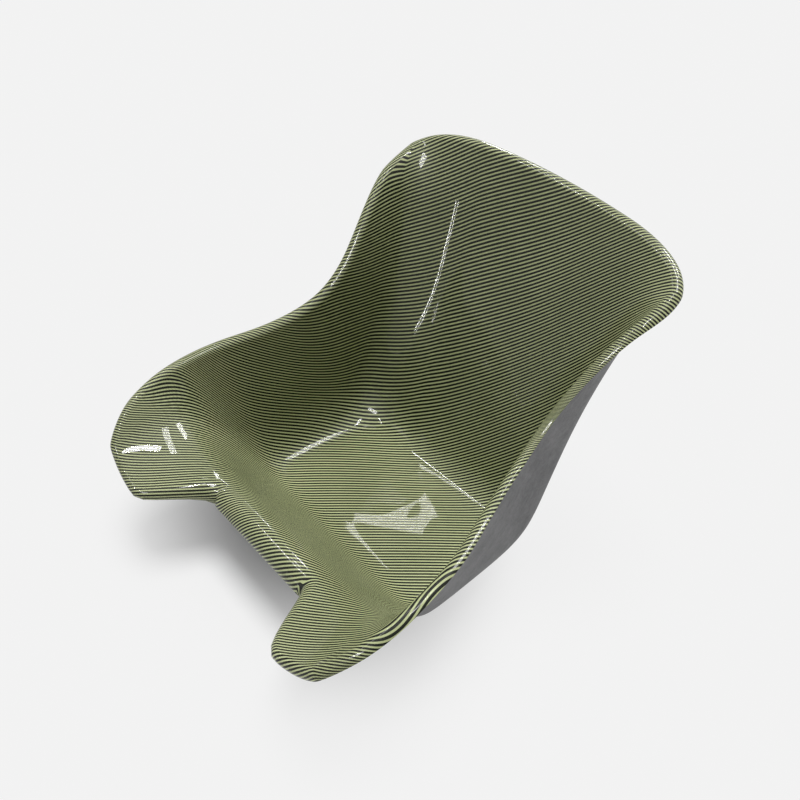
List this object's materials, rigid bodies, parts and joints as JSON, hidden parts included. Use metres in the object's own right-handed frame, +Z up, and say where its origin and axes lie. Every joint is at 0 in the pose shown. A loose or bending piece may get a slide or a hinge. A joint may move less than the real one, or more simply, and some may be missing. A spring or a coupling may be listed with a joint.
{
  "type": "kart bucket seat",
  "caption": "Moulded composite racing kart bucket seat: thin woven-faced shell with recessed pan, thigh wings, waisted back and rolled lip all round.",
  "frame": {"origin": "bottom centre of the bounding box, on the surface the seat stands on", "axes": "+Z up, -Y towards the front edge and thigh wings, +Y towards the back, X = 0 is the mirror plane"},
  "size_m": [0.4442, 0.4996, 0.3651],
  "materials": {
    "face_ply": "woven black and olive twill under thick gloss clear coat",
    "glass_laminate": "cured glass laminate, cut edge",
    "back_mat": "rough dark grey resin-rich mat",
    "base_doubler": "rough dark grey resin-rich mat"
  },
  "bodies": {
    "root": {"face_ply": "face_ply", "glass_laminate": "glass_laminate", "back_mat": "back_mat", "base_doubler": "base_doubler"}
  },
  "joints": []
}
